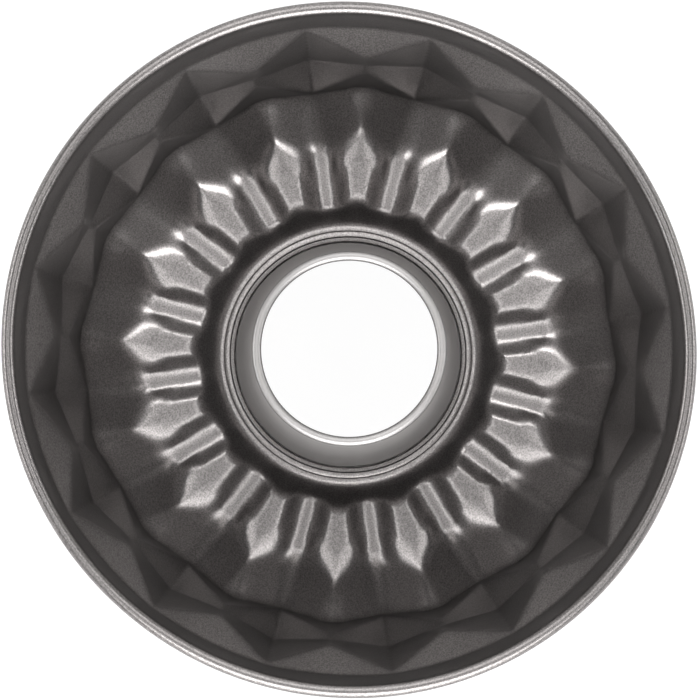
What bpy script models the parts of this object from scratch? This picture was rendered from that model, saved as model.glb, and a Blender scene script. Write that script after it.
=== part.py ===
"""Mini fluted tube pan: a pressed sheet-steel body with a rolled rim, and a centre tube seamed into its floor.

The pan stands on its floor and opens upwards. +Z is its axis, the origin is the middle of the plane that it
stands on, and +X runs through the middle of one star of the floor. Sizes are in metres.
"""
import math

import bmesh
import bpy
import numpy as np
from mathutils import Matrix, Vector

# Sheet and clearances
SHEET = 0.0005              # thickness of the steel of the body and of the tube
GAP = 0.0003                # clearance between pieces that touch

# Pattern: one flute runs from the middle of a rib over a star to the next rib
FLUTES = 16
HALF_PITCH = math.pi / FLUTES
STEPS = 3                   # facets of a circle in half a flute

# Body, from the rim down; radii and heights are those of its inner face
RIM_RADIUS = 0.080          # outermost edge of the rolled rim
BODY_HEIGHT = 0.075         # table to the top of the rolled rim
RIM_BEAD = 0.003            # diameter of the rolled rim
RIM_ROLL = 270              # degrees that the rim is rolled through
RIM_ROLL_STEPS = 6
WIRE = 0.0014               # diameter of the wire in the rolled rim
NECK_DEPTH = 0.0102         # rim's middle down to the fans, in the middle of a fan
NECK_DRAFT = 0.0016         # how far the plain neck narrows, in the middle of a fan
NECK_CORNER = 0.0011        # how far it narrows at a rib's line

# Wall: each bend as a depth below the rim's middle and a step in from the rim's inner edge
FAN_TIP = (0.0296, 0.0081)          # lower tip of a fan, on the star's line
FAN_CORNER = (0.0154, 0.0019)       # where two fans part, on the rib's line
KITE_TOP = (0.0380, 0.0062)         # top of a kite, on the rib's line
KITE_SIDE = (0.0345, 0.0097)        # where two kites part, on the star's line

# Foot of the wall: each bend as a height above the floor and a step in from the rim's inner edge
KITE_TIP = (0.0139, 0.0135)         # lower tip of a kite, on the rib's line
VALLEY_TOP = (0.0073, 0.0117)       # top of the flute's valley, on the star's line
VALLEY_WIDTH = 0.17                 # share of the half pitch that the flat bottom of the valley takes

# Floor: stars lie flat on the table, and the ribs between them stand higher
STAR_TIP = 0.0542           # radius of a star's point
STAR_SHOULDER = 0.0480      # radius of its two side points
STAR_WAIST = 0.0458         # radius where its stem begins
STAR_NOTCH = 0.0497         # radius where its two head facets meet the flat stem
STAR_RISE = 0.0005          # how far the head facets rise to their outer edge
RIB_END = 0.0493            # radius of a rib's outer end
RIB_HEIGHT = 0.0024         # a rib's top above the stars
SHOULDER_WIDTH = 0.56       # widths are shares of the half pitch, from the star's or the rib's middle
WAIST_WIDTH = 0.36
STEM_WIDTH = 0.28
RIB_END_WIDTH = 0.275
RIB_MIDDLE_WIDTH = 0.225
RIB_FOOT_WIDTH = 0.265

# Boss round the tube: steps out from the tube's face, and heights above the floor
BOSS_HEIGHT = 0.0070        # crest of the boss
BOSS_SHOULDER = (0.0057, 0.0060)    # where the boss leaves its round crest
BOSS_ROUND = (0.0048, 0.0067)
BOSS_CREST = 0.0039         # step out to the crest's highest line
STAR_FOOT = 0.0117          # step out to a star's inner end, in its middle
STEM_FOOT = 0.0100          # step out to a star's inner end, at its sides
RIB_FOOT = 0.0090           # step out to a rib's inner end
OUTER_GROOVE = 0.0029       # steps out to the two pressed lines of the seam
INNER_GROOVE = 0.0015
GROOVE_STEP = 0.0003        # how far the ring drops at each line
GROOVE_WIDTH = 0.00005

# Seam under the boss: the body's edge is turned down and out, and the tube's edge hooks round it
HOOK_WIDTH = 0.0015         # body's turned edge, from the tube's face out
HOOK_HEIGHT = 0.0035        # table to the lower face of the turned edge
FOLD = 0.0006               # radius of the body's folds, on their outer face
TUBE_FOLD = 0.0001          # radius of the tube's folds, on their inner face
LAP = 0.0007                # how far the tube's edge reaches back over the body's

# Centre tube
TUBE_FOOT = 0.0272          # outer radius where it passes the body
TUBE_TOP = 0.0206           # outer radius under its bead
TUBE_HEIGHT = 0.0819        # table to the top of its bead
TUBE_BEAD = 0.0022          # diameter of its rolled edge
TUBE_ROLL = 270             # degrees that its edge is rolled through
TUBE_ROLL_STEPS = 6
TUBE_SEGMENTS = 64
WIRE_SEGMENTS = 64
WIRE_SIDES = 6

# Places worked out from the sizes above
RIM_MIDDLE = BODY_HEIGHT - RIM_BEAD / 2
NECK_RADIUS = RIM_RADIUS - RIM_BEAD
BEAD_RADIUS = RIM_RADIUS - RIM_BEAD / 2
COLLAR = TUBE_FOOT + GAP


def clear_scene():
    for old in list(bpy.data.objects):
        bpy.data.objects.remove(old, do_unlink=True)


def metal(name, color, roughness):
    mat = bpy.data.materials.new(name)
    mat.use_nodes = True
    shader = mat.node_tree.nodes["Principled BSDF"]
    shader.inputs["Base Color"].default_value = (*color, 1)
    shader.inputs["Metallic"].default_value = 0.9
    shader.inputs["Roughness"].default_value = roughness
    return mat


def add_object(name, bm, mat):
    bmesh.ops.remove_doubles(bm, verts=bm.verts, dist=1e-6)
    bmesh.ops.triangulate(bm, faces=bm.faces)
    bmesh.ops.recalc_face_normals(bm, faces=bm.faces)
    mesh = bpy.data.meshes.new(name)
    bm.to_mesh(mesh)
    bm.free()
    mesh.shade_smooth()
    mesh.set_sharp_from_angle(angle=math.radians(18))
    mesh.materials.append(mat)
    obj = bpy.data.objects.new(name, mesh)
    bpy.context.collection.objects.link(obj)
    return obj


def arc(center, radius, start, turn, steps):
    """Points of a profile's round stretch; angles in degrees from outwards, counted towards +Z."""
    points = []
    for i in range(steps + 1):
        angle = math.radians(start + turn * i / steps)
        points.append((center[0] + radius * math.cos(angle), center[1] + radius * math.sin(angle)))
    return points


# Body

def at(share, radius, height):
    """A point between the star's line (share 0) and the rib's line (share 1) of half a flute."""
    angle = share * HALF_PITCH
    return Vector((radius * math.cos(angle), radius * math.sin(angle), height))


def circle(radius, height):
    return [at(i / STEPS, radius, height) for i in range(STEPS + 1)]


def from_rim(share, bend):
    depth, step = bend
    return at(share, NECK_RADIUS - step, RIM_MIDDLE - depth)


def from_floor(share, bend):
    rise, step = bend
    return at(share, NECK_RADIUS - step, SHEET + rise)


def neck_foot():
    """The neck's lower edge, where the flat fan cuts it."""
    tip = from_rim(0, FAN_TIP)
    top = from_rim(0, (NECK_DEPTH, NECK_DRAFT))
    rise = (top.z - tip.z) / (top.x - tip.x)
    points = []
    for i in range(STEPS + 1):
        share = i / STEPS
        draft = NECK_DRAFT + (NECK_CORNER - NECK_DRAFT) * share ** 2
        p = at(share, NECK_RADIUS - draft, 0)
        p.z = tip.z + (p.x - tip.x) * rise
        points.append(p)
    return points


def strip(upper, lower):
    """Facets between two rows of as many points, the upper one further out."""
    return [[a, b, d, c] for a, b, c, d in zip(upper, upper[1:], lower, lower[1:])]


def rim_rows():
    center = (BEAD_RADIUS, RIM_MIDDLE)
    profile = arc(center, RIM_BEAD / 2, 180 - RIM_ROLL, RIM_ROLL, RIM_ROLL_STEPS)
    return [circle(*p) for p in profile]


def boss_rows():
    """Rings from the foot of the boss's crest to the end of the hook under it."""
    floor = SHEET
    ring = floor + BOSS_HEIGHT - GROOVE_STEP / 2
    low = ring - GROOVE_STEP
    lowest = low - GROOVE_STEP
    crest = [(TUBE_FOOT + BOSS_SHOULDER[0], floor + BOSS_SHOULDER[1]),
             (TUBE_FOOT + BOSS_ROUND[0], floor + BOSS_ROUND[1]),
             (TUBE_FOOT + BOSS_CREST, floor + BOSS_HEIGHT),
             (TUBE_FOOT + OUTER_GROOVE, ring)]
    seam = [(TUBE_FOOT + OUTER_GROOVE - GROOVE_WIDTH, low),
            (TUBE_FOOT + INNER_GROOVE, low),
            (TUBE_FOOT + INNER_GROOVE - GROOVE_WIDTH, lowest)]
    upper_fold = arc((COLLAR + FOLD, lowest - FOLD), FOLD, 90, 90, 1)
    lower_fold = arc((COLLAR + FOLD, HOOK_HEIGHT + FOLD), FOLD, 180, 90, 1)
    hook = [(COLLAR + HOOK_WIDTH, HOOK_HEIGHT)]
    return [circle(*p) for p in crest + seam + upper_fold + lower_fold + hook]


def half_flute():
    """Facets of the body's inner face in half a flute, from the rolled rim to the hook under the boss."""
    floor = SHEET
    rib = SHEET + RIB_HEIGHT
    rim, neck, boss = rim_rows(), neck_foot(), boss_rows()
    fan_tip, fan_corner = from_rim(0, FAN_TIP), from_rim(1, FAN_CORNER)
    kite_top, kite_side = from_rim(1, KITE_TOP), from_rim(0, KITE_SIDE)
    kite_tip = from_floor(1, KITE_TIP)
    valley, valley_side = from_floor(0, VALLEY_TOP), from_floor(VALLEY_WIDTH, VALLEY_TOP)
    tip = at(0, STAR_TIP, floor + STAR_RISE)
    shoulder = at(SHOULDER_WIDTH, STAR_SHOULDER, floor + STAR_RISE)
    notch = at(0, STAR_NOTCH, floor)
    waist = at(WAIST_WIDTH, STAR_WAIST, floor)
    star_foot = at(0, TUBE_FOOT + STAR_FOOT, floor)
    stem_foot = at(STEM_WIDTH, TUBE_FOOT + STEM_FOOT, floor)
    stem_arc = at(STEM_WIDTH / 2, TUBE_FOOT + STAR_FOOT + (STEM_FOOT - STAR_FOOT) / 2 ** 2, floor)
    rib_end = at(1, RIB_END, rib)
    rib_corner = at(1 - RIB_END_WIDTH, RIB_END, rib)
    rib_side = at(1 - RIB_MIDDLE_WIDTH, (RIB_END + TUBE_FOOT + RIB_FOOT) / 2, rib)
    rib_foot_corner = at(1 - RIB_FOOT_WIDTH, TUBE_FOOT + RIB_FOOT, rib)
    rib_foot = at(1, TUBE_FOOT + RIB_FOOT, rib)
    shore = boss[0]

    faces = []
    for upper, lower in zip(rim, rim[1:]):
        faces += strip(upper, lower)
    faces += strip(rim[-1], neck)
    faces += [[fan_tip, a, b] for a, b in zip(neck, neck[1:])]
    faces += [[fan_tip, neck[-1], fan_corner],
              [fan_tip, fan_corner, kite_top],
              [fan_tip, kite_top, kite_side],
              [kite_side, kite_top, kite_tip],
              [kite_side, kite_tip, valley_side],
              [kite_side, valley_side, valley],
              [valley, valley_side, tip],
              [valley_side, kite_tip, rib_end],
              [valley_side, rib_end, rib_corner],
              [valley_side, rib_corner, shoulder],
              [valley_side, shoulder, tip]]
    faces += [[tip, shoulder, waist, notch],
              [notch, waist, star_foot],
              [star_foot, waist, stem_arc],
              [stem_arc, waist, stem_foot]]
    faces += [[shoulder, rib_corner, rib_side, waist],
              [waist, rib_side, rib_foot_corner, stem_foot],
              [rib_corner, rib_end, rib_foot, rib_side],
              [rib_side, rib_foot, rib_foot_corner]]
    faces += [[star_foot, stem_arc, shore[0]],
              [stem_arc, shore[1], shore[0]],
              [stem_arc, stem_foot, shore[1]],
              [stem_foot, shore[2], shore[1]],
              [stem_foot, rib_foot_corner, shore[2]],
              [rib_foot_corner, shore[3], shore[2]],
              [rib_foot_corner, rib_foot, shore[3]]]
    for upper, lower in zip(boss, boss[1:]):
        faces += strip(upper, lower)
    return faces


def round_the_axis(faces):
    """Mirror half a flute at the star's line, and repeat the whole flute round the axis."""
    bm = bmesh.new()
    for k in range(FLUTES):
        turn = Matrix.Rotation(2 * HALF_PITCH * k, 3, "Z")
        for side in (1, -1):
            for face in faces:
                corners = [turn @ Vector((p.x, p.y * side, p.z)) for p in face]
                if side < 0:
                    corners.reverse()
                bm.faces.new([bm.verts.new(p) for p in corners])
    bmesh.ops.remove_doubles(bm, verts=bm.verts, dist=1e-6)
    bmesh.ops.triangulate(bm, faces=bm.faces)
    bm.normal_update()
    return bm


def back_step(vert):
    """Step to the sheet's back face that keeps the thickness square to each facet that meets here."""
    normals = []
    for face in vert.link_faces:
        n = face.normal
        if all(n.angle(other) > math.radians(1.5) for other in normals):
            normals.append(n.copy())
    level = [n for n in normals if abs(n.z) > 0.99999]
    if level:
        lift = level[0].z
        rows = np.array([[n.x, n.y] for n in normals if n not in level]).reshape(-1, 2)
        rest = np.array([1 - n.z * lift for n in normals if n not in level])
        flat = np.linalg.lstsq(rows, rest, rcond=0.2)[0] if len(rows) else (0, 0)
        return Vector((flat[0], flat[1], lift)) * -SHEET
    step = np.linalg.lstsq(np.array(normals), np.ones(len(normals)), rcond=0.2)[0]
    return Vector(step) * -SHEET


def thicken(bm):
    """Give the inner face its back face, one sheet away, and close the two open edges."""
    front = list(bm.faces)
    edges = [[loop.vert, loop.link_loop_next.vert] for f in front for loop in f.loops if loop.edge.is_boundary]
    back = {}
    for v in list(bm.verts):
        back[v] = bm.verts.new(v.co + back_step(v))
    for face in front:
        bm.faces.new([back[v] for v in reversed(face.verts)])
    for a, b in edges:
        bm.faces.new([b, a, back[a], back[b]])


def pan_body(mat):
    bm = round_the_axis(half_flute())
    thicken(bm)
    return add_object("pan_body", bm, mat)


# Tube and wire

def turned(name, loop, segments, mat):
    """Turn a closed profile of (radius, height) points round the axis."""
    bm = bmesh.new()
    rings = []
    for k in range(segments):
        angle = 2 * math.pi * k / segments
        c, s = math.cos(angle), math.sin(angle)
        rings.append([bm.verts.new((r * c, r * s, z)) for r, z in loop])
    count = len(loop)
    for k in range(segments):
        here, there = rings[k], rings[(k + 1) % segments]
        for i in range(count):
            j = (i + 1) % count
            bm.faces.new([here[i], here[j], there[j], there[i]])
    return add_object(name, bm, mat)


def sheet_loop(path):
    """Close a sheet's outer face, given as a path, with its back face, one sheet to the path's right."""
    back = []
    for i, here in enumerate(path):
        before = path[max(i - 1, 0)]
        after = path[min(i + 1, len(path) - 1)]
        sides = []
        for a, b in ((before, here), (here, after)):
            length = math.dist(a, b)
            if length:
                sides.append(((b[1] - a[1]) / length, (a[0] - b[0]) / length))
        mean = [sum(side[axis] for side in sides) / len(sides) for axis in (0, 1)]
        square = mean[0] ** 2 + mean[1] ** 2
        back.append((here[0] + mean[0] * SHEET / square, here[1] + mean[1] * SHEET / square))
    return path + back[::-1]


def centre_tube(mat):
    """Cone with a rolled top edge, whose foot is folded out, up and back round the body's hook."""
    bead = (TUBE_TOP - SHEET + TUBE_BEAD / 2, TUBE_HEIGHT - TUBE_BEAD / 2)
    roll = arc(bead, TUBE_BEAD / 2 - SHEET, 180 - TUBE_ROLL, TUBE_ROLL, TUBE_ROLL_STEPS)
    pass_height = SHEET + BOSS_HEIGHT
    leg = HOOK_HEIGHT - GAP
    hook_end = COLLAR + HOOK_WIDTH + GAP
    hook_top = HOOK_HEIGHT + SHEET + GAP
    bend = TUBE_FOLD
    foot = arc((TUBE_FOOT + bend, leg + bend), bend, 180, 90, 1)
    out = arc((hook_end - bend, leg + bend), bend, 270, 90, 1)
    over = arc((hook_end - bend, hook_top - bend), bend, 0, 90, 1)
    lap = [(hook_end - LAP, hook_top)]
    path = roll + [(TUBE_FOOT, pass_height)] + foot + out + over + lap
    return turned("centre_tube", sheet_loop(path), TUBE_SEGMENTS, mat)


def rim_wire(mat):
    loop = arc((BEAD_RADIUS, RIM_MIDDLE), WIRE / 2, 0, 360, WIRE_SIDES)[:-1]
    return turned("rim_wire", loop, WIRE_SEGMENTS, mat)


def main():
    clear_scene()
    pan_body(metal("coated_steel", (0.32, 0.305, 0.295), 0.36))
    centre_tube(metal("tube_steel", (0.24, 0.23, 0.225), 0.30))
    rim_wire(metal("wire_steel", (0.55, 0.55, 0.56), 0.30))


main()
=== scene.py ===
"""Looks of the mini fluted tube pan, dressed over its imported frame.

The frame gives the pan's place and overall size. Here the pressed sheet gets rounded creases, the rim and
the tube get fine rolls, and every surface gets its coated-metal finish. Lengths are in metres, and +Z is
the pan's axis.
"""
import math

import bmesh
import bpy
import numpy as np
from mathutils import Matrix, Vector
from mathutils.geometry import delaunay_2d_cdt


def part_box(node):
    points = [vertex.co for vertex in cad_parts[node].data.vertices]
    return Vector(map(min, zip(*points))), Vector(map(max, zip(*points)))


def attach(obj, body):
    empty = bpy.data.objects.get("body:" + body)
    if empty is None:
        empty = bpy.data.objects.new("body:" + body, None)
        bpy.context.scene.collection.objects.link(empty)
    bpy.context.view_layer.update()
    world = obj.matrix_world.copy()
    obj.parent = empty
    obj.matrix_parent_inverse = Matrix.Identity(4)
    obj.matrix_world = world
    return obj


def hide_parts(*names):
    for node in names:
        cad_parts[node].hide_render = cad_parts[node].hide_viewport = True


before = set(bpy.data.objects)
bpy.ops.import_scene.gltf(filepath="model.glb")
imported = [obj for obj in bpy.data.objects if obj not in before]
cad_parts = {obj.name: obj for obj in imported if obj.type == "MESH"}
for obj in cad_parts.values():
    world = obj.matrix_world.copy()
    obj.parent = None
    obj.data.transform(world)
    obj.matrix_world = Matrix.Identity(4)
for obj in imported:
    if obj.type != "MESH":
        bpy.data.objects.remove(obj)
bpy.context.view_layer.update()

# Overall sizes, from the frame
BODY_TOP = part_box("pan_body")[1]
TUBE_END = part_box("centre_tube")[1]
RIM_RADIUS = BODY_TOP.y
BODY_HEIGHT = BODY_TOP.z
TUBE_HEIGHT = TUBE_END.z
GAP = 0.0003
SHEET = 0.0005

# Pattern: half a flute runs from a star's line (share 0) to a rib's line (share 1)
FLUTES = 16
HALF_PITCH = math.pi / FLUTES
STEPS = 15                  # facets of a circle in half a flute

# Rim and neck
RIM_BEAD = 0.003
RIM_ROLL = 300
RIM_ROLL_STEPS = 22
WIRE = 0.0014
WIRE_SIDES = 16
NECK_DEPTH = 0.0153
NECK_DRAFT = 0.0014
NECK_CORNER = 0.0010
NECK_ROWS = (0.006, 0.0020, 0.0008, 0.00035)    # distances of the neck's rows from its lower edge

# Wall: each bend as a depth below the rim's middle and a step in from the rim's inner edge
FAN_TIP = (0.0240, 0.0083)
FAN_CORNER_STEP = 0.0018    # the corner's depth follows from the fan being flat
KITE_TOP = (0.0440, 0.0062)
KITE_SIDE = (0.0325, 0.0089)
KITE_LOW_STEP = 0.0104      # the kite is flat, so its low side's depth follows

# Foot of the wall: each bend as a height above the floor and a step in from the rim's inner edge
KITE_TIP = (0.0139, 0.0135)
VALLEY_TOP = (0.0085, 0.0117)
VALLEY_WIDTH = 0.17
FLUTE_FILLET = 0.22         # share of the flute's slope that curves down to the floor

# Floor: radii of the stars and ribs, and widths as shares of the half pitch
STAR_TIP = 0.0542
STAR_SHOULDER = 0.0482
STAR_WAIST = 0.0458
STAR_NOTCH = 0.0497
STAR_RISE = 0.0005
RIB_END = 0.0493
RIB_HEIGHT = 0.0026
SHOULDER_WIDTH = 0.60
WAIST_WIDTH = 0.36
STEM_WIDTH = 0.28
RIB_END_WIDTH = 0.275
RIB_MIDDLE_WIDTH = 0.225
RIB_FOOT_WIDTH = 0.265

# Boss and seam: steps out from the tube's face, and heights above the floor
BOSS_HEIGHT = 0.0070
BOSS_SHOULDER = (0.0057, 0.0060)
BOSS_CREST = 0.0032
CREST_STEPS = 9
CREST_PULL = 0.45           # share of the crest's span over which it heads for the tube
STAR_FOOT = 0.0117
STEM_FOOT = 0.0100
RIB_FOOT = 0.0090
OUTER_GROOVE = 0.0029
INNER_GROOVE = 0.0015
GROOVE_STEP = 0.0003
GROOVE_WIDTH = 0.00016
OUTER_GROOVE_DEPTH = 0.00026
INNER_GROOVE_DEPTH = 0.00040
HOOK_WIDTH = 0.0015
HOOK_HEIGHT = 0.0035
FOLD = 0.0004
FOLD_STEPS = 6

# Moat round the boss: its rows as shares of its width, and its height as a cubic of that share
MOAT_ROWS = (0, 0.06, 0.13, 0.22, 0.32, 0.44, 0.56, 0.68, 0.8, 0.9, 1)
MOAT_START = 0.2
MOAT_CLIMB = 1.45
MOAT_EASE = 0.65

# Tube
TUBE_FOOT = 0.0272
TUBE_TOP = 0.0206
TUBE_BEAD = 0.0022
TUBE_ROLL = 285
TUBE_ROLL_STEPS = 28
TUBE_SEGMENTS = 160
TUBE_ROWS = 24
TUBE_FOLD = 0.0001
TUBE_FOLD_STEPS = 4
LAP = 0.0007

# Rounding of the pressed creases: rows of points beside each crease, and passes of smoothing
PITCH = 0.0008
WALL_ROWS = (0.00035, 0.0008)
FLOOR_ROWS = (0.0003, 0.0007)
WALL_FILL = 0.0035
FLOOR_FILL = 0.0010
WALL_PASSES = 5
FLOOR_PASSES = 15
FLUTE_PASSES = 16           # of the flute's rows, halfway down
SOFT_BELOW = 0.005          # height under which the creases are softest
CRISP_ABOVE = 0.014
BOSS_REACH = 0.0003         # how far the rounding reaches into the boss
RIM_REACH = 0.002           # how far below the rim's middle it stops
SHARP = 35                  # degrees

# Limits of the mesh's making
FLAT = 0.00002              # a four-sided facet further out of flat than this is cut in two
SAME_PLACE = 0.000002       # points closer than this are merged
ON_LINE = 0.00002           # a point this close to a pressed line's middle belongs to it
ALMOST = 0.98               # share of its row's distance that a point keeps from every edge
CROWDED = 0.7               # share of the first row's distance under which a point is left out
LINE_SPACING = 0.866        # height of an even-sided triangle of side 1
MILLI = 1000
TOLERANCE = 0.000001        # of the triangulation, in millimetres

# The photographed rim is slightly out of round, and the floor isn't
OVAL = 0.00062
OVAL_FADE = 1.5
SPARE = 0.00001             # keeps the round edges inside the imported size

RIM_MIDDLE = BODY_HEIGHT - RIM_BEAD / 2
NECK_RADIUS = RIM_RADIUS - RIM_BEAD
BEAD_RADIUS = RIM_RADIUS - RIM_BEAD / 2 - SPARE
COLLAR = TUBE_FOOT + GAP
BOSS_EDGE = TUBE_FOOT + BOSS_SHOULDER[0]


# Points and rows

def arc(center, radius, start, turn, steps):
    """Points of a profile's round stretch; angles in degrees from outwards, counted towards +Z."""
    points = []
    for i in range(steps + 1):
        angle = math.radians(start + turn * i / steps)
        points.append((center[0] + radius * math.cos(angle), center[1] + radius * math.sin(angle)))
    return points


def at(share, radius, height):
    """The point at a share of the half flute."""
    angle = share * HALF_PITCH
    return Vector((radius * math.cos(angle), radius * math.sin(angle), height))


def circle(radius, height):
    """A level row of points across half a flute."""
    return [at(i / STEPS, radius, height) for i in range(STEPS + 1)]


def from_rim(share, bend):
    """A bend's point, given as a depth and a step in."""
    depth, step = bend
    return at(share, NECK_RADIUS - step, RIM_MIDDLE - depth)


def from_floor(share, bend):
    """A bend's point, given as a height above the floor and a step in."""
    rise, step = bend
    return at(share, NECK_RADIUS - step, SHEET + rise)


def on_fan(share, step):
    """A point of the flat fan, a step in from the rim's inner edge."""
    tip = from_rim(0, FAN_TIP)
    top = from_rim(0, (NECK_DEPTH, NECK_DRAFT))
    p = at(share, NECK_RADIUS - step, 0)
    p.z = tip.z + (p.x - tip.x) * (top.z - tip.z) / (top.x - tip.x)
    return p


def neck_foot():
    """The neck's lower edge, where the flat fan cuts it."""
    shares = [i / STEPS for i in range(STEPS + 1)]
    return [on_fan(share, NECK_DRAFT + (NECK_CORNER - NECK_DRAFT) * share ** 2) for share in shares]


def divide(corners):
    """The corners of a line with points between them, about one pitch apart."""
    points = [corners[0]]
    for a, b in zip(corners, corners[1:]):
        pieces = max(1, round((b - a).length / PITCH))
        points += [a.lerp(b, i / pieces) for i in range(1, pieces + 1)]
    return points


def share_of(p):
    """The share of the half flute at which a point lies."""
    return math.atan2(p.y, p.x) / HALF_PITCH


def strip(upper, lower):
    """Quads between two rows of as many points."""
    return [[a, b, d, c] for a, b, c, d in zip(upper, upper[1:], lower, lower[1:])]


def strips(rows):
    """Quads between each row and the next."""
    faces = []
    for upper, lower in zip(rows, rows[1:]):
        faces += strip(upper, lower)
    return faces


def ruled(upper, lower, places):
    """Rows across the straight lines that join two rows of as many points."""
    return [[a.lerp(b, t) for a, b in zip(upper, lower)] for t in places]


def rows_between(upper, lower, steps_down):
    """Rows that leave the upper row and close in on the lower one by the given distances."""
    rows = [upper]
    for step in steps_down:
        rows.append([b + (a - b).normalized() * step for a, b in zip(upper, lower)])
    return rows + [lower]


def mirrored(p, share):
    """The point's mirror image in the upright plane at share 0 or 1."""
    c, s = math.cos(2 * share * HALF_PITCH), math.sin(2 * share * HALF_PITCH)
    return Vector((p.x * c + p.y * s, p.x * s - p.y * c, p.z))


def soften(row, passes):
    """Average a row's points with their neighbours; the half flutes beside it mirror the row."""
    for k in range(passes):
        around = [mirrored(row[1], 0)] + row + [mirrored(row[-2], 1)]
        row = [b * 0.5 + (a + c) * 0.25 for a, b, c in zip(around, around[1:], around[2:])]
    return row


def newell(points):
    """Normal of a polygon, as long as twice its area."""
    total = Vector((0, 0, 0))
    for a, b in zip(points, points[1:] + points[:1]):
        total += a.cross(b)
    return total


# Curved parts of the body's inner face, in half a flute

def curve_through(a, b, heading, steps):
    """A smooth curve from a to b that ends with the given heading."""
    a, b = Vector(a), Vector(b)
    back = Vector(heading).normalized() * (b - a).length * CREST_PULL
    mid = b - back
    points = []
    for i in range(steps + 1):
        t = i / steps
        points.append(tuple(a * (1 - t) ** 2 + mid * 2 * t * (1 - t) + b * t ** 2))
    return points


def groove(step, height, next_height):
    """Profile of one pressed line: its outer lip, its bottom and its inner lip, one step lower."""
    r = TUBE_FOOT + step
    return [(r + GROOVE_WIDTH, height), (r, (height + next_height) / 2), (r - GROOVE_WIDTH, next_height)]


def boss_rows(shares):
    """Rings of the boss's round crest, the pressed seam rings and the hook, from the outside in."""
    ring = SHEET + BOSS_HEIGHT
    low = ring - GROOVE_STEP
    lowest = low - GROOVE_STEP
    start = (BOSS_EDGE, SHEET + BOSS_SHOULDER[1])
    crest = (TUBE_FOOT + BOSS_CREST, ring)
    inner = (TUBE_FOOT + OUTER_GROOVE + GROOVE_WIDTH, ring)
    rows = curve_through(start, crest, (-1, 0), CREST_STEPS) + [inner]
    rows += groove(OUTER_GROOVE, ring, low)[1:]
    rows += groove(INNER_GROOVE, low, lowest)
    rows += arc((COLLAR + FOLD, lowest - FOLD), FOLD, 90, 90, FOLD_STEPS)
    rows += arc((COLLAR + FOLD, HOOK_HEIGHT + FOLD), FOLD, 180, 90, FOLD_STEPS)
    rows += [(COLLAR + HOOK_WIDTH, HOOK_HEIGHT)]
    return [[at(share, *p) for share in shares] for p in rows]


def moat_rows(inner_end, shore):
    """Rows that climb from the inner ends of the stars and ribs to the boss, gently at first."""
    rows = ruled(inner_end, shore, MOAT_ROWS)
    for row in rows[1:-1]:
        for p, low, high in zip(row, inner_end, shore):
            t = (p.xy - low.xy).length / (high.xy - low.xy).length
            climb = MOAT_START * t + MOAT_CLIMB * t ** 2 - MOAT_EASE * t ** 3
            p.z = low.z + (high.z - low.z) * climb
    return rows


def levelled(rise):
    """Height share of a slope that starts level and is straight further up."""
    if rise < FLUTE_FILLET:
        climb = rise ** 2 / (2 * FLUTE_FILLET)
    else:
        climb = rise - FLUTE_FILLET / 2
    return climb / (1 - FLUTE_FILLET / 2)


def flute_rows(hollow, brow, tip, outline):
    """The flute's lower face, from its top edge down to the outline of the floor's pattern.

    The hollow's points all run to the star's tip. The rows turn gently at the star's line and at the
    rib's, and most gently halfway down.
    """
    rows = round((brow[0] - tip).length / PITCH)
    heights = [j / rows for j in range(rows + 1)]
    flute = ruled(hollow + brow, [tip] * len(hollow) + outline, heights)
    for row, t in zip(flute, heights):
        for p, high, low in zip(row, flute[0], flute[-1]):
            p.z = low.z + (high.z - low.z) * levelled(1 - t)
    return [soften(row, round(FLUTE_PASSES * 4 * t * (1 - t))) for row, t in zip(flute, heights)]


def rim_rows():
    """The rim rolled round its wire, from its free edge to the top of the neck."""
    center = (BEAD_RADIUS, RIM_MIDDLE)
    return [circle(*p) for p in arc(center, RIM_BEAD / 2, 180 - RIM_ROLL, RIM_ROLL, RIM_ROLL_STEPS)]


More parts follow.
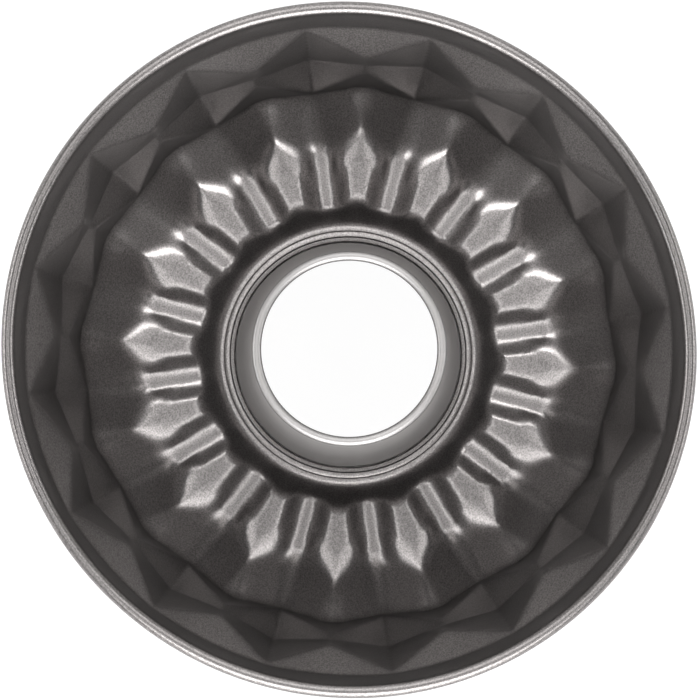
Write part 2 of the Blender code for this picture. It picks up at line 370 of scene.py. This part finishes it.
def facets():
    """The body's inner face in half a flute: flat facets of the wall and of the floor, and curved quads."""
    floor = SHEET
    rib = SHEET + RIB_HEIGHT
    neck = neck_foot()
    fan_tip = from_rim(0, FAN_TIP)
    fan_corner = on_fan(1, FAN_CORNER_STEP)
    kite_top = from_rim(1, KITE_TOP)
    kite_side = from_rim(0, KITE_SIDE)
    kite_tip = from_floor(1, KITE_TIP)
    kite_low = from_rim(0, (0, KITE_LOW_STEP))
    facing = newell([kite_side, kite_top, kite_tip])
    kite_low.z = kite_side.z - facing.x * (kite_low.x - kite_side.x) / facing.z
    valley = from_floor(0, VALLEY_TOP)
    valley_side = from_floor(VALLEY_WIDTH, VALLEY_TOP)
    tip = at(0, STAR_TIP, floor + STAR_RISE)
    shoulder = at(SHOULDER_WIDTH, STAR_SHOULDER, floor + STAR_RISE)
    notch = at(0, STAR_NOTCH, floor)
    waist = at(WAIST_WIDTH, STAR_WAIST, floor)
    star_foot = at(0, TUBE_FOOT + STAR_FOOT, floor)
    stem_foot = at(STEM_WIDTH, TUBE_FOOT + STEM_FOOT, floor)
    stem_arc = at(STEM_WIDTH / 2, TUBE_FOOT + STAR_FOOT + (STEM_FOOT - STAR_FOOT) / 4, floor)
    rib_end = at(1, RIB_END, rib)
    rib_corner = at(1 - RIB_END_WIDTH, RIB_END, rib)
    rib_side = at(1 - RIB_MIDDLE_WIDTH, (RIB_END + TUBE_FOOT + RIB_FOOT) / 2, rib)
    rib_foot_corner = at(1 - RIB_FOOT_WIDTH, TUBE_FOOT + RIB_FOOT, rib)
    rib_foot = at(1, TUBE_FOOT + RIB_FOOT, rib)

    outline = divide([tip, shoulder, rib_corner, rib_end])
    columns = len(outline) - 1
    brow = [valley_side.lerp(kite_tip, i / columns) for i in range(columns + 1)]
    hollow = divide([valley, valley_side])[:-1]
    flute = flute_rows(hollow, brow, tip, outline)

    inner_end = divide([star_foot, stem_arc, stem_foot, rib_foot_corner, rib_foot])
    boss = boss_rows([share_of(p) for p in inner_end])
    moat = moat_rows(inner_end, boss[0])

    wall = [[fan_tip] + neck + [fan_corner],
            [fan_tip, fan_corner, kite_top],
            [fan_tip, kite_top, kite_side],
            [kite_side, kite_top, kite_tip, kite_low],
            [kite_low] + brow[::-1],
            [kite_low, valley_side, valley]]
    ground = [[tip, shoulder, waist, notch],
              [notch, waist, star_foot],
              [star_foot, waist, stem_arc],
              [stem_arc, waist, stem_foot],
              [shoulder, rib_corner, rib_side, waist],
              [waist, rib_side, rib_foot_corner, stem_foot],
              [rib_corner, rib_end, rib_foot, rib_side],
              [rib_side, rib_foot, rib_foot_corner]]
    rim = rim_rows()
    neck_rows = rows_between(rim[-1], neck, NECK_ROWS)
    return wall, ground, strips(rim) + strips(neck_rows) + strips(flute) + strips(moat) + strips(boss)


# Meshes

def edges_of(flat):
    """Each edge of a flat outline: its start, its end, its inward direction and its number of points."""
    edges = []
    for a, b in zip(flat, flat[1:] + flat[:1]):
        length = np.linalg.norm(b - a)
        along = (b - a) / length
        inward = np.array((-along[1], along[0]))
        edges.append((a, b, inward, max(1, round(length / PITCH))))
    return edges


def points_inside(edges, rows, fill):
    """Points inside a flat outline: in rows beside its edges, in its corners and over its middle."""
    starts = np.array([start for start, end, inward, pieces in edges])
    inwards = np.array([inward for start, end, inward, pieces in edges])

    def clear(p):
        return ((p - starts) * inwards).sum(axis=1).min()

    points = []
    for row in rows:
        for i, (a, b, inward, pieces) in enumerate(edges):
            beside = [a + (b - a) * (k + 0.5) / pieces + inward * row for k in range(pieces)]
            before = edges[i - 1][2]
            corner = a + (before + inward) / (1 + before @ inward) * row
            points += [p for p in beside + [corner] if clear(p) > row * ALMOST]
    low, high = starts.min(axis=0), starts.max(axis=0)
    columns = int((high[0] - low[0]) / fill) + 1
    lines = int((high[1] - low[1]) / (fill * LINE_SPACING)) + 1
    for j in range(lines + 1):
        for i in range(columns + 1):
            p = low + np.array(((i + 0.5 * (j % 2)) * fill, j * fill * LINE_SPACING))
            if clear(p) > rows[-1] + fill * 0.5:
                points.append(p)
    apart = []
    for p in points:
        if all(np.linalg.norm(p - q) > rows[0] * CROWDED for q in apart):
            apart.append(p)
    return apart


def refine(corners, rows, fill):
    """Triangles of one facet, with points along its edges, in rows beside them and over its middle."""
    if len(corners) == 4:
        off = (corners[3] - corners[0]).dot(newell(corners[:3]).normalized())
        if abs(off) > FLAT:
            return (refine([corners[0], corners[1], corners[2]], rows, fill)
                    + refine([corners[0], corners[2], corners[3]], rows, fill))
    normal = newell(corners).normalized()
    u = (corners[1] - corners[0]).normalized()
    v = normal.cross(u)
    origin = corners[0]
    edges = edges_of([np.array(((p - origin).dot(u), (p - origin).dot(v))) for p in corners])
    height = [(p - origin).dot(normal) for p in corners]
    outline, lift = [], []
    for (a, b, inward, pieces), low, high in zip(edges, height, height[1:] + height[:1]):
        outline += [a + (b - a) * k / pieces for k in range(pieces)]
        lift += [low + (high - low) * k / pieces for k in range(pieces)]
    points = [Vector(p * MILLI) for p in outline + points_inside(edges, rows, fill)]
    made = delaunay_2d_cdt(points, [], [list(range(len(outline)))], 1, TOLERANCE)
    places, sources = made[0], made[3]
    result = []
    for face in made[2]:
        triangle = []
        for index in face:
            x, y = places[index] / MILLI
            source = sources[index]
            on_edge = source and source[0] < len(lift)
            up = lift[source[0]] if on_edge else 0
            triangle.append(origin + u * x + v * y + normal * up)
        if newell(triangle).dot(normal) < 0:
            triangle.reverse()
        result.append(triangle)
    return result


def inner_face():
    """The body's whole inner face, before its creases are rounded."""
    wall, ground, curved = facets()
    faces = list(curved)
    for facet in wall:
        faces += refine(facet, WALL_ROWS, WALL_FILL)
    for facet in ground:
        faces += refine(facet, FLOOR_ROWS, FLOOR_FILL)
    bm = bmesh.new()
    for k in range(FLUTES):
        turn = Matrix.Rotation(2 * HALF_PITCH * k, 3, "Z")
        for side in (1, -1):
            for face in faces:
                corners = [turn @ Vector((p.x, p.y * side, p.z)) for p in face]
                if side < 0:
                    corners.reverse()
                bm.faces.new([bm.verts.new(p) for p in corners])
    bmesh.ops.remove_doubles(bm, verts=bm.verts, dist=SAME_PLACE)
    return bm


def round_creases(bm):
    """Average each point with its neighbours, a few times on the wall and more often on the floor."""
    bm.verts.ensure_lookup_table()
    place = np.array([v.co for v in bm.verts])
    ends = np.array([(e.verts[0].index, e.verts[1].index) for e in bm.edges])
    radius = np.hypot(place[:, 0], place[:, 1])
    height = place[:, 2]
    soft = np.clip((CRISP_ABOVE - height) / (CRISP_ABOVE - SOFT_BELOW), 0, 1)
    passes = WALL_PASSES + (FLOOR_PASSES - WALL_PASSES) * soft
    fixed = (radius < BOSS_EDGE - BOSS_REACH) | (height > RIM_MIDDLE - RIM_REACH)
    passes[fixed] = 0
    degree = np.bincount(ends.ravel(), minlength=len(place))[:, None]
    for k in range(FLOOR_PASSES):
        total = np.zeros_like(place)
        for axis in range(3):
            total[:, axis] = (np.bincount(ends[:, 0], place[ends[:, 1], axis], len(place))
                              + np.bincount(ends[:, 1], place[ends[:, 0], axis], len(place)))
        share = np.clip(passes - k, 0, 1)[:, None] * 0.5
        place += (total / degree - place) * share
    for v, p in zip(bm.verts, place):
        v.co = p


def open_edges(bm):
    """The two ends of each open edge, in the order of the face beside it."""
    edges = []
    for face in bm.faces:
        for loop in face.loops:
            if loop.edge.is_boundary:
                edges.append([loop.vert, loop.link_loop_next.vert])
    return edges


def thicken(bm):
    """Give the inner face its back face, one sheet away, with closed edges and pressed seam lines."""
    bm.normal_update()
    front = list(bm.faces)
    edges = open_edges(bm)
    back = {}
    for v in list(bm.verts):
        back[v] = bm.verts.new(v.co - v.normal * SHEET * v.calc_shell_factor())
    for face in front:
        bm.faces.new([back[v] for v in reversed(face.verts)])
    for a, b in edges:
        bm.faces.new([b, a, back[a], back[b]])
    for v in back:
        radius = math.hypot(v.co.x, v.co.y)
        for step, depth in ((OUTER_GROOVE, OUTER_GROOVE_DEPTH), (INNER_GROOVE, INNER_GROOVE_DEPTH)):
            if abs(radius - TUBE_FOOT - step) < ON_LINE and v.co.z > BOSS_HEIGHT / 2:
                v.co.z -= depth


def out_of_round(bm):
    """Press the rim slightly oval, fading out towards the floor."""
    for v in bm.verts:
        azimuth = math.atan2(v.co.y, v.co.x)
        fade = min(max(v.co.z / RIM_MIDDLE, 0), 1) ** OVAL_FADE
        radius = math.hypot(v.co.x, v.co.y)
        if radius > BOSS_EDGE:
            factor = 1 + OVAL * math.sin(2 * azimuth) * fade / radius
            v.co.x *= factor
            v.co.y *= factor


def turned(loop, segments):
    """Turn a closed profile of (radius, height) points round the axis."""
    bm = bmesh.new()
    rings = []
    for k in range(segments):
        angle = 2 * math.pi * k / segments
        c, s = math.cos(angle), math.sin(angle)
        rings.append([bm.verts.new((r * c, r * s, z)) for r, z in loop])
    count = len(loop)
    for k in range(segments):
        here, there = rings[k], rings[(k + 1) % segments]
        for i in range(count):
            j = (i + 1) % count
            bm.faces.new([here[i], here[j], there[j], there[i]])
    return bm


def sheet_loop(path):
    """Close a sheet's outer face, given as a path, with its back face, one sheet to the path's right."""
    back = []
    for i, here in enumerate(path):
        before = path[max(i - 1, 0)]
        after = path[min(i + 1, len(path) - 1)]
        sides = []
        for a, b in ((before, here), (here, after)):
            length = math.dist(a, b)
            if length:
                sides.append(((b[1] - a[1]) / length, (a[0] - b[0]) / length))
        mean = [sum(side[axis] for side in sides) / len(sides) for axis in (0, 1)]
        square = mean[0] ** 2 + mean[1] ** 2
        back.append((here[0] + mean[0] * SHEET / square, here[1] + mean[1] * SHEET / square))
    return path + back[::-1]


# Pieces

def add_piece(name, bm, mat, node):
    """Make the mesh a piece that rides with the pan, stands for a node and takes its finish from a slot."""
    mesh = bpy.data.meshes.new(name)
    bmesh.ops.recalc_face_normals(bm, faces=bm.faces)
    bm.to_mesh(mesh)
    bm.free()
    mesh.shade_smooth()
    mesh.set_sharp_from_angle(angle=math.radians(SHARP))
    mesh.materials.append(mat)
    obj = bpy.data.objects.new(name, mesh)
    bpy.context.collection.objects.link(obj)
    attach(obj, "root")
    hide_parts(node)


def body_piece(mat):
    """The pressed body, from its rolled rim to the hook of its seam."""
    bm = inner_face()
    round_creases(bm)
    thicken(bm)
    out_of_round(bm)
    add_piece("body_sheet", bm, mat, "pan_body")


def tube_piece(mat):
    """The conical tube, from its rolled top edge to its foot, which is hooked round the body's edge."""
    bead = (TUBE_TOP - SHEET + TUBE_BEAD / 2, TUBE_HEIGHT - TUBE_BEAD / 2 - SPARE)
    roll = arc(bead, TUBE_BEAD / 2 - SHEET, 180 - TUBE_ROLL, TUBE_ROLL, TUBE_ROLL_STEPS)
    pass_height = SHEET + BOSS_HEIGHT
    leg = HOOK_HEIGHT - GAP
    hook_end = COLLAR + HOOK_WIDTH + GAP
    hook_top = HOOK_HEIGHT + SHEET + GAP
    bend = TUBE_FOLD
    foot = arc((TUBE_FOOT + bend, leg + bend), bend, 180, 90, TUBE_FOLD_STEPS)
    out = arc((hook_end - bend, leg + bend), bend, 270, 90, TUBE_FOLD_STEPS)
    over = arc((hook_end - bend, hook_top - bend), bend, 0, 90, TUBE_FOLD_STEPS)
    lap = [(hook_end - LAP, hook_top)]
    radius, height = roll[-1]
    wall = []
    for i in range(1, TUBE_ROWS + 1):
        t = i / TUBE_ROWS
        wall.append((radius + (TUBE_FOOT - radius) * t, height + (pass_height - height) * t))
    path = roll + wall + foot + out + over + lap
    add_piece("tube_sheet", turned(sheet_loop(path), TUBE_SEGMENTS), mat, "centre_tube")


def wire_piece(mat):
    """The wire inside the rolled rim."""
    loop = arc((BEAD_RADIUS, RIM_MIDDLE), WIRE / 2, 0, 360, WIRE_SIDES)[:-1]
    bm = turned(loop, TUBE_SEGMENTS)
    out_of_round(bm)
    add_piece("rim_core_wire", bm, mat, "rim_wire")


# Materials

COAT_DARK = (0.101, 0.095, 0.093, 1)
COAT_LIGHT = (0.215, 0.203, 0.200, 1)
COAT_EDGE_TINT = (0.6, 0.6, 0.6, 1)
RIM_PAINTED_SHADE = 0.70            # painted shade: the rolled rim's share of the coating's colour, which dims its highlights
TUBE_DARK = (0.364, 0.354, 0.348, 1)
TUBE_LIGHT = (0.465, 0.451, 0.445, 1)
# painted shade: share of the tube's colour kept on its rolled edge, dimming its highlights
TUBE_BEAD_PAINTED_SHADE = 0.42
WIRE_DARK = (0.45, 0.45, 0.46, 1)
WIRE_LIGHT = (0.62, 0.62, 0.63, 1)
PAINTED_SHADE_FADE = 0.0004         # half the height over which a rolled edge's painted shade fades in
GRAIN_DEPTH = 0.00002


def new_material(name):
    """A material with its nodes, links and main shader."""
    mat = bpy.data.materials.new(name)
    mat.use_nodes = True
    return mat, mat.node_tree.nodes, mat.node_tree.links, mat.node_tree.nodes["Principled BSDF"]


def object_place(nodes):
    """The place on the object, in metres."""
    return nodes.new("ShaderNodeTexCoord").outputs["Object"]


def noise(nodes, links, place, scale, detail):
    """Procedural noise between 0 and 1."""
    texture = nodes.new("ShaderNodeTexNoise")
    texture.inputs["Scale"].default_value = scale
    texture.inputs["Detail"].default_value = detail
    links.new(place, texture.inputs["Vector"])
    return texture.outputs["Fac"]


def blend(nodes, links, value, first, last, start=0, end=1):
    """The colour for a value: the first up to the start, the last from the end."""
    ramp = nodes.new("ShaderNodeValToRGB")
    for stop, position, color in zip(ramp.color_ramp.elements, (start, end), (first, last)):
        stop.position = position
        stop.color = color
    links.new(value, ramp.inputs["Fac"])
    return ramp.outputs["Color"]


def painted_shade_above(mat, color, height, share):
    """Painted shade: the colour, down to the given share of it on the rolled edge above a height."""
    nodes, links = mat.node_tree.nodes, mat.node_tree.links
    split = nodes.new("ShaderNodeSeparateXYZ")
    links.new(object_place(nodes), split.inputs["Vector"])
    fade = nodes.new("ShaderNodeMapRange")
    fade.inputs["From Min"].default_value = height - PAINTED_SHADE_FADE
    fade.inputs["From Max"].default_value = height + PAINTED_SHADE_FADE
    fade.inputs["To Min"].default_value = 1
    fade.inputs["To Max"].default_value = share
    links.new(split.outputs["Z"], fade.inputs["Value"])
    scaled = nodes.new("ShaderNodeVectorMath")
    scaled.operation = "SCALE"
    links.new(color, scaled.inputs[0])
    links.new(fade.outputs["Result"], scaled.inputs["Scale"])
    return scaled.outputs["Vector"]


def coated_steel():
    """Warm grey metallic coating with the fine grain of its flakes, and painted shade darkening the rolled
    rim.
    """
    mat, nodes, links, shader = new_material("coated_steel_look")
    shader.inputs["Metallic"].default_value = 0.90
    shader.inputs["Specular Tint"].default_value = COAT_EDGE_TINT
    place = object_place(nodes)
    grain = noise(nodes, links, place, 2600, 2)
    cloud = noise(nodes, links, place, 60, 3)
    color = blend(nodes, links, grain, COAT_DARK, COAT_LIGHT, 0.30, 0.72)
    # painted shade: the rolled rim is darkened to dim its highlights
    painted_shade_color = painted_shade_above(mat, color, RIM_MIDDLE - RIM_BEAD / 2, RIM_PAINTED_SHADE)
    links.new(painted_shade_color, shader.inputs["Base Color"])

    rough = nodes.new("ShaderNodeMapRange")
    rough.inputs["To Min"].default_value = 0.26
    rough.inputs["To Max"].default_value = 0.36
    links.new(cloud, rough.inputs["Value"])
    links.new(rough.outputs["Result"], shader.inputs["Roughness"])

    bump = nodes.new("ShaderNodeBump")
    bump.inputs["Strength"].default_value = 0.25
    bump.inputs["Distance"].default_value = GRAIN_DEPTH
    links.new(grain, bump.inputs["Height"])
    links.new(bump.outputs["Normal"], shader.inputs["Normal"])
    return mat


def tube_steel():
    """Smoother coating with faint lines round the tube, and painted shade making its rolled edge much
    darker.
    """
    mat, nodes, links, shader = new_material("tube_steel_look")
    shader.inputs["Metallic"].default_value = 0.85
    shader.inputs["Roughness"].default_value = 0.44
    stretch = nodes.new("ShaderNodeMapping")
    stretch.inputs["Scale"].default_value = (40, 40, 1600)
    links.new(object_place(nodes), stretch.inputs["Vector"])
    lines = noise(nodes, links, stretch.outputs["Vector"], 1, 2)
    color = blend(nodes, links, lines, TUBE_DARK, TUBE_LIGHT)
    # painted shade: the tube's rolled edge is darkened to dim its highlights
    painted_shade_color = painted_shade_above(mat, color, TUBE_HEIGHT - TUBE_BEAD, TUBE_BEAD_PAINTED_SHADE)
    links.new(painted_shade_color, shader.inputs["Base Color"])
    return mat


def wire_steel():
    """Bare drawn wire."""
    mat, nodes, links, shader = new_material("wire_steel_look")
    shader.inputs["Metallic"].default_value = 1
    shader.inputs["Roughness"].default_value = 0.35
    drawn = noise(nodes, links, object_place(nodes), 900, 2)
    links.new(blend(nodes, links, drawn, WIRE_DARK, WIRE_LIGHT), shader.inputs["Base Color"])
    return mat


# Stage

IMAGE_WIDTH = 700
PIXELS_PER_METRE = 4352.5
CAMERA_HEIGHT = 1.1             # above the plane of the rim's middle
CAMERA_BELOW = 0.0212           # how far the camera stands towards the bottom of the image
CAMERA_LEFT = 0.0041
SENSOR_WIDTH = 36               # millimetres
RIM_CENTRE = (349.1, 349.4)     # pixels
UP_AZIMUTH = math.radians(3.5)  # part azimuth of the image's top
LAMP_DISTANCE = 1.4
WALL_LIGHT = 2.0                # light of the room's walls, where white is 1
WALL_TOP = 0.26                 # sine of the elevation at which the walls' light begins to fade
DARK_FROM = 0.42
ALMOST_BLACK = (0.02, 0.02, 0.02, 1)
WHITE = (1, 1, 1, 1)
FLOOR_COLOR = (0.8, 0.8, 0.8, 1)
SHADOW_COLOR = (0.09, 0.09, 0.09, 1)
FLOOR_GLOW = 0.955
FLOOR_REACH = 3                 # half the floor's side
FLOOR_DROP = 0.0003             # keeps the floor clear of the pan's lowest ring
LEFT = (-1, 0)
RIGHT = (1, 0)
BOTTOM = (0, -1)
TOP = (0, 1)


def set_world():
    """A white room, brightest along its walls and dark overhead, where only the lamps shine.

    The camera sees it white.
    """
    world = bpy.data.worlds.new("studio")
    bpy.context.scene.world = world
    world.use_nodes = True
    nodes, links = world.node_tree.nodes, world.node_tree.links
    room = nodes["Background"]
    room.inputs["Strength"].default_value = WALL_LIGHT
    where = nodes.new("ShaderNodeTexCoord")
    split = nodes.new("ShaderNodeSeparateXYZ")
    links.new(where.outputs["Generated"], split.inputs["Vector"])
    tone = blend(nodes, links, split.outputs["Z"], WHITE, ALMOST_BLACK, WALL_TOP, DARK_FROM)
    links.new(tone, room.inputs["Color"])
    white = nodes.new("ShaderNodeBackground")
    white.inputs["Color"].default_value = WHITE
    path = nodes.new("ShaderNodeLightPath")
    mix = nodes.new("ShaderNodeMixShader")
    links.new(path.outputs["Is Camera Ray"], mix.inputs["Fac"])
    links.new(room.outputs["Background"], mix.inputs[1])
    links.new(white.outputs["Background"], mix.inputs[2])
    links.new(mix.outputs["Shader"], nodes["World Output"].inputs["Surface"])


def floor_white():
    """White table, plainly lit in reflections.

    The camera sees it white, with a little of the pan's shadow.
    """
    mat, nodes, links, shader = new_material("floor_white")
    shader.inputs["Base Color"].default_value = FLOOR_COLOR
    shader.inputs["Roughness"].default_value = 0.9
    path = nodes.new("ShaderNodeLightPath")
    glow = nodes.new("ShaderNodeEmission")
    glow.inputs["Strength"].default_value = FLOOR_GLOW
    matte = nodes.new("ShaderNodeBsdfDiffuse")
    matte.inputs["Color"].default_value = SHADOW_COLOR
    lit = nodes.new("ShaderNodeAddShader")
    links.new(glow.outputs[0], lit.inputs[0])
    links.new(matte.outputs[0], lit.inputs[1])
    mix = nodes.new("ShaderNodeMixShader")
    links.new(path.outputs["Is Camera Ray"], mix.inputs["Fac"])
    links.new(shader.outputs[0], mix.inputs[1])
    links.new(lit.outputs[0], mix.inputs[2])
    links.new(mix.outputs[0], nodes["Material Output"].inputs["Surface"])
    return mat


def set_floor():
    """The table under the pan."""
    bm = bmesh.new()
    bmesh.ops.create_grid(bm, x_segments=8, y_segments=8, size=FLOOR_REACH)
    mesh = bpy.data.meshes.new("floor")
    bm.to_mesh(mesh)
    bm.free()
    mesh.materials.append(floor_white())
    floor = bpy.data.objects.new("floor", mesh)
    floor.location.z = -FLOOR_DROP
    bpy.context.collection.objects.link(floor)


def image_direction(right, up, height):
    """World vector from steps to the right and up in the image, and upwards."""
    top = Vector((math.cos(UP_AZIMUTH), math.sin(UP_AZIMUTH), 0))
    side = Vector((math.sin(UP_AZIMUTH), -math.cos(UP_AZIMUTH), 0))
    return side * right + top * up + Vector((0, 0, height))


def softbox(name, side, elevation, size, power):
    """A soft rectangular lamp aimed at the pan, from a side of the image at an elevation in degrees."""
    lamp = bpy.data.lights.new(name, "AREA")
    lamp.shape = "RECTANGLE"
    lamp.size, lamp.size_y = size
    lamp.energy = power
    level = math.cos(math.radians(elevation))
    direction = image_direction(side[0] * level, side[1] * level, math.sin(math.radians(elevation)))
    obj = bpy.data.objects.new(name, lamp)
    obj.location = direction * LAMP_DISTANCE
    obj.rotation_euler = (-obj.location).to_track_quat("-Z", "Y").to_euler()
    obj.visible_camera = False
    bpy.context.collection.objects.link(obj)


def set_lights():
    """Each lamp with its elevation, its width and height, and its power in watts."""
    softbox("low_left", LEFT, 27, (1.2, 0.3), 14)
    softbox("low_right", RIGHT, 27, (1.2, 0.3), 12)
    softbox("low_bottom", BOTTOM, 20, (1.4, 0.3), 17)
    softbox("low_top", TOP, 20, (1.4, 0.3), 3)
    softbox("middle_bottom", BOTTOM, 46, (1.3, 0.75), 50)
    softbox("middle_top", TOP, 49, (1.3, 0.7), 17)
    softbox("high_bottom", BOTTOM, 68, (1.3, 0.35), 1.5)
    softbox("high_top", TOP, 68, (1.3, 0.35), 7)
    softbox("top_bottom", BOTTOM, 79, (0.9, 0.27), 1.5)
    softbox("top_top", TOP, 79, (0.9, 0.27), 1.9)
    softbox("top_left", LEFT, 73, (0.5, 0.25), 2.6)
    softbox("top_right", RIGHT, 73, (0.5, 0.25), 2.6)


def set_camera():
    """The photograph's camera, nearly straight above the pan."""
    data = bpy.data.cameras.new("camera")
    camera = bpy.data.objects.new("camera", data)
    bpy.context.collection.objects.link(camera)
    bpy.context.scene.camera = camera
    place = image_direction(-CAMERA_LEFT, -CAMERA_BELOW, RIM_MIDDLE + CAMERA_HEIGHT)
    half = IMAGE_WIDTH / 2
    aim_right = (half - RIM_CENTRE[0]) / PIXELS_PER_METRE
    aim_up = (RIM_CENTRE[1] - half) / PIXELS_PER_METRE
    target = image_direction(aim_right, aim_up, RIM_MIDDLE)
    camera.location = place
    forward = (target - place).normalized()
    top = image_direction(0, 1, 0)
    right = forward.cross(top).normalized()
    up = right.cross(forward)
    camera.rotation_euler = Matrix((right, up, -forward)).transposed().to_euler()
    data.sensor_width = SENSOR_WIDTH
    data.lens = data.sensor_width * (target - place).length * PIXELS_PER_METRE / IMAGE_WIDTH


body_piece(coated_steel())
tube_piece(tube_steel())
wire_piece(wire_steel())
set_world()
set_floor()
set_lights()
set_camera()
bpy.context.scene.view_settings.view_transform = "Standard"
